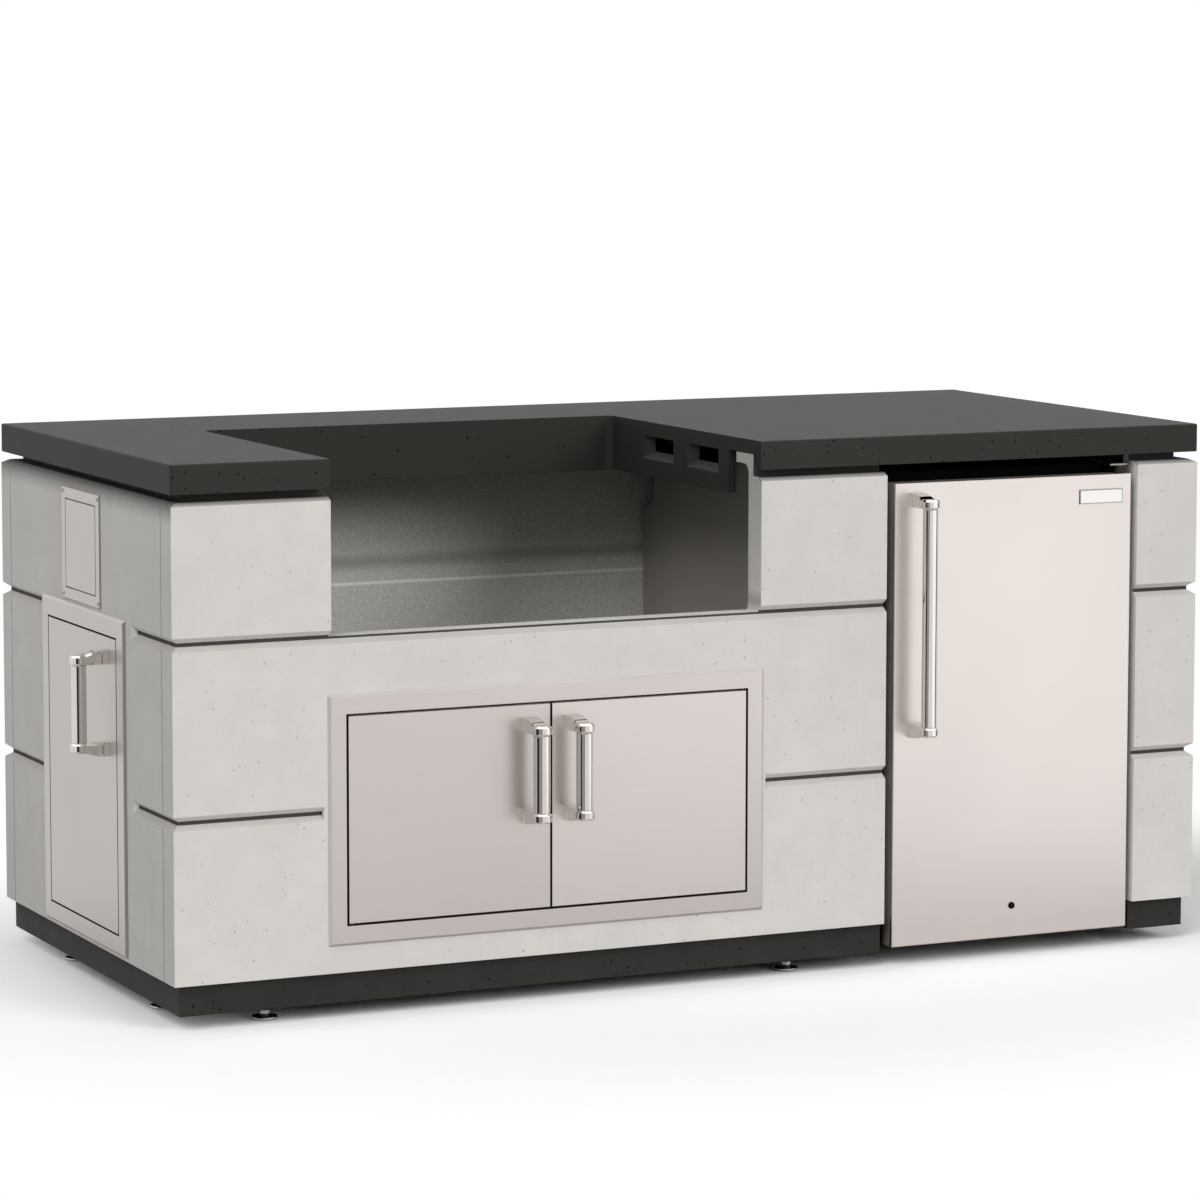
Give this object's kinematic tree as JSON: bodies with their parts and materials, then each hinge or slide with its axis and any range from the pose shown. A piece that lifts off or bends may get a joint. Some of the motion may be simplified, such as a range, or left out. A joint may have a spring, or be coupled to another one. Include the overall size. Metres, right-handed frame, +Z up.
{
  "type": "outdoor kitchen island",
  "caption": "Outdoor kitchen island with cast walls and counter, grill cut-out, access doors and under-counter fridge.",
  "frame": {"origin": "middle of the bounding box's base, on the floor that the feet stand on", "axes": "+X to the right along the front, towards the fridge; +Y from the front to the back; +Z up"},
  "size_m": [1.9672, 0.9352, 0.914],
  "materials": {
    "dark_concrete": "satin",
    "light_concrete": "matte",
    "base_concrete": "matte",
    "floor_board": "matte",
    "sheet_steel": "satin",
    "brushed_steel": "satin",
    "chrome": "polished",
    "shelf_wire": "polished",
    "black_metal": "satin",
    "cabinet_paint": "satin",
    "liner_plastic": "satin",
    "gasket_rubber": "matte"
  },
  "bodies": {
    "island": {"countertop": "dark_concrete", "front_panel": "light_concrete", "front_corner_panel": "light_concrete", "left_panel": "light_concrete", "right_panel": "light_concrete", "back_panel": "light_concrete", "base_frame": "base_concrete", "storage_floor": "floor_board", "bay_divider": "sheet_steel", "front_door_frame": "brushed_steel", "side_door_frame": "brushed_steel", "utility_frame": "brushed_steel", "utility_cover": "brushed_steel", "fridge_upper_hinge": "brushed_steel", "left_door_lower_hinge_pin": "chrome", "left_door_upper_hinge_pin": "chrome", "right_door_lower_hinge_pin": "chrome", "right_door_upper_hinge_pin": "chrome", "side_door_lower_hinge_pin": "chrome", "side_door_upper_hinge_pin": "chrome", "fridge_shelf_lower": "shelf_wire", "fridge_shelf_upper": "shelf_wire", "left_door_catch": "black_metal", "right_door_catch": "black_metal", "side_door_catch": "black_metal", "fridge_lower_hinge": "black_metal", "fridge_compressor": "black_metal", "fridge_cabinet": "cabinet_paint", "fridge_liner": "liner_plastic"},
    "left_door": {"left_door": "brushed_steel", "left_door_handle_bar": "chrome", "left_door_handle_upper_bracket": "chrome", "left_door_handle_lower_bracket": "chrome"},
    "right_door": {"right_door": "brushed_steel", "right_door_handle_bar": "chrome", "right_door_handle_upper_bracket": "chrome", "right_door_handle_lower_bracket": "chrome"},
    "side_door": {"side_door": "brushed_steel", "side_door_handle_bar": "chrome", "side_door_handle_upper_bracket": "chrome", "side_door_handle_lower_bracket": "chrome"},
    "fridge_door": {"fridge_door": "brushed_steel", "fridge_door_liner": "liner_plastic", "fridge_gasket": "gasket_rubber", "badge_plate": "brushed_steel", "fridge_handle_bar": "chrome", "fridge_handle_upper_bracket": "chrome", "fridge_handle_lower_bracket": "chrome"},
    "fridge_lock": {"fridge_lock": "black_metal"},
    "thermostat_knob": {"thermostat_knob": "liner_plastic"},
    "levelling_foot_1": {"levelling_foot_1": "chrome"},
    "levelling_foot_2": {"levelling_foot_2": "chrome"},
    "levelling_foot_3": {"levelling_foot_3": "chrome"},
    "levelling_foot_4": {"levelling_foot_4": "chrome"},
    "levelling_foot_5": {"levelling_foot_5": "chrome"},
    "levelling_foot_6": {"levelling_foot_6": "chrome"},
    "levelling_foot_7": {"levelling_foot_7": "chrome"},
    "levelling_foot_8": {"levelling_foot_8": "chrome"},
    "fridge_foot_1": {"fridge_foot_1": "black_metal"},
    "fridge_foot_2": {"fridge_foot_2": "black_metal"}
  },
  "joints": [
    {"name": "left_door_hinge", "type": "hinge", "parent": "island", "child": "left_door", "pos_m": [-0.61238, -0.39937, 0.32725], "axis": [0, 0, -1], "range_deg": [0, 105]},
    {"name": "right_door_hinge", "type": "hinge", "parent": "island", "child": "right_door", "pos_m": [0.09342, -0.39937, 0.32725], "axis": [0, 0, 1], "range_deg": [0, 105]},
    {"name": "side_door_hinge", "type": "hinge", "parent": "island", "child": "side_door", "pos_m": [-0.91538, 0.19462, 0.36225], "axis": [0, 0, -1], "range_deg": [0, 105]},
    {"name": "fridge_door_hinge", "type": "hinge", "parent": "island", "child": "fridge_door", "pos_m": [0.83362, -0.38338, 0.433], "axis": [0, 0, 1], "range_deg": [0, 105]},
    {"name": "fridge_lock_turn", "type": "hinge", "parent": "fridge_door", "child": "fridge_lock", "pos_m": [0.61762, -0.40137, 0.09], "axis": [0, -1, 0], "range_deg": [0, 90]},
    {"name": "thermostat_turn", "type": "hinge", "parent": "island", "child": "thermostat_knob", "pos_m": [0.80112, -0.22037, 0.73], "axis": [-1, 0, 0], "range_deg": [0, 270]},
    {"name": "levelling_foot_1_travel", "type": "slide", "parent": "island", "child": "levelling_foot_1", "axis": [0, 0, 1], "range_m": [-0.012, 0.005]},
    {"name": "levelling_foot_2_travel", "type": "slide", "parent": "island", "child": "levelling_foot_2", "axis": [0, 0, 1], "range_m": [-0.012, 0.005]},
    {"name": "levelling_foot_3_travel", "type": "slide", "parent": "island", "child": "levelling_foot_3", "axis": [0, 0, 1], "range_m": [-0.012, 0.005]},
    {"name": "levelling_foot_4_travel", "type": "slide", "parent": "island", "child": "levelling_foot_4", "axis": [0, 0, 1], "range_m": [-0.012, 0.005]},
    {"name": "levelling_foot_5_travel", "type": "slide", "parent": "island", "child": "levelling_foot_5", "axis": [0, 0, 1], "range_m": [-0.012, 0.005]},
    {"name": "levelling_foot_6_travel", "type": "slide", "parent": "island", "child": "levelling_foot_6", "axis": [0, 0, 1], "range_m": [-0.012, 0.005]},
    {"name": "levelling_foot_7_travel", "type": "slide", "parent": "island", "child": "levelling_foot_7", "axis": [0, 0, 1], "range_m": [-0.012, 0.005]},
    {"name": "levelling_foot_8_travel", "type": "slide", "parent": "island", "child": "levelling_foot_8", "axis": [0, 0, 1], "range_m": [-0.012, 0.005]},
    {"name": "fridge_foot_1_travel", "type": "slide", "parent": "island", "child": "fridge_foot_1", "axis": [0, 0, 1], "range_m": [-0.01, 0.004]},
    {"name": "fridge_foot_2_travel", "type": "slide", "parent": "island", "child": "fridge_foot_2", "axis": [0, 0, 1], "range_m": [-0.01, 0.004]}
  ]
}
